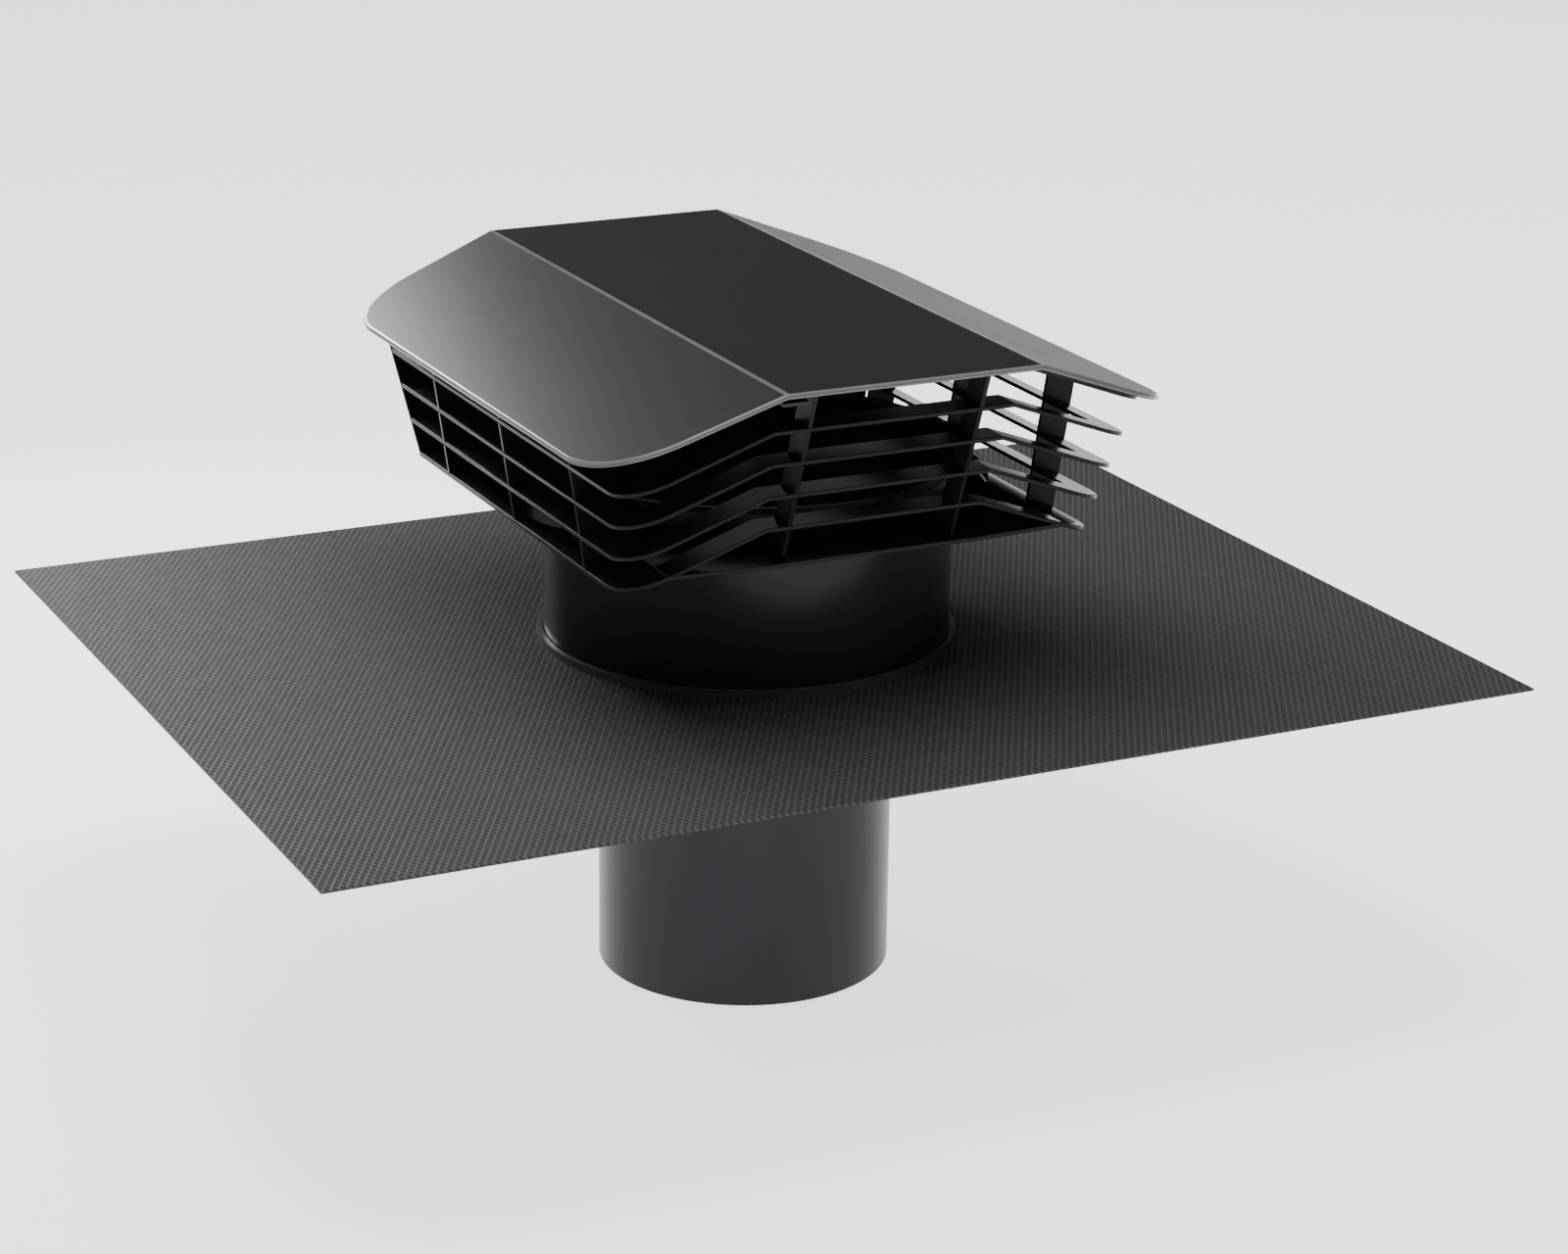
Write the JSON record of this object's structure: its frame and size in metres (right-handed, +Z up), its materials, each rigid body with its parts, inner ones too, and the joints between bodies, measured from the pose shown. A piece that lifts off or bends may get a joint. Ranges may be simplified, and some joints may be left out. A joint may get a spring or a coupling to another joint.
{
  "type": "roof vent terminal",
  "caption": "Louvred ventilation cowl with a lift-off folded cap on a round neck, standing in the collar of a flat roof flashing with a duct spigot below.",
  "frame": {"origin": "on the duct axis, in the underside plane of the flashing sheet, which is the roof plane", "axes": "+Z up along the duct axis, out of the roof; +X along the long edge of the flashing; the ridges of the cap and the long sides of the head run along Y, the end nearer the viewer in the picture facing -Y"},
  "size_m": [0.666, 0.512, 0.3734],
  "materials": {
    "cap_plastic": "satin moulded plastic",
    "louvre_plastic": "semi-gloss moulded plastic",
    "neck_plastic": "gloss moulded plastic",
    "spigot_plastic": "satin moulded plastic",
    "flashing_sheet": "matt coated mesh sheet",
    "seal_rubber": "matt rubber",
    "screw_steel": "brushed"
  },
  "bodies": {
    "base": {"spigot": "spigot_plastic", "base_plate": "neck_plastic", "flange_gasket": "seal_rubber", "flashing": "flashing_sheet", "collar": "neck_plastic", "flange_screws": "screw_steel", "neck_seal": "seal_rubber"},
    "head": {"neck": "neck_plastic", "tray": "louvre_plastic", "rain_ring": "louvre_plastic", "louvre_4": "louvre_plastic", "louvre_3": "louvre_plastic", "louvre_2": "louvre_plastic", "louvre_1": "louvre_plastic", "top_frame": "louvre_plastic", "rear_panel": "louvre_plastic", "cap_clips": "cap_plastic"},
    "cap": {"cap": "cap_plastic"}
  },
  "joints": [
    {"name": "head_swivel", "type": "hinge", "parent": "base", "child": "head", "pos_m": [0, 0, 0.012], "axis": [0, 0, 1], "continuous": true},
    {"name": "cap_lift", "type": "slide", "parent": "head", "child": "cap", "axis": [0, 0, 1], "range_m": [0, 0.12]}
  ]
}
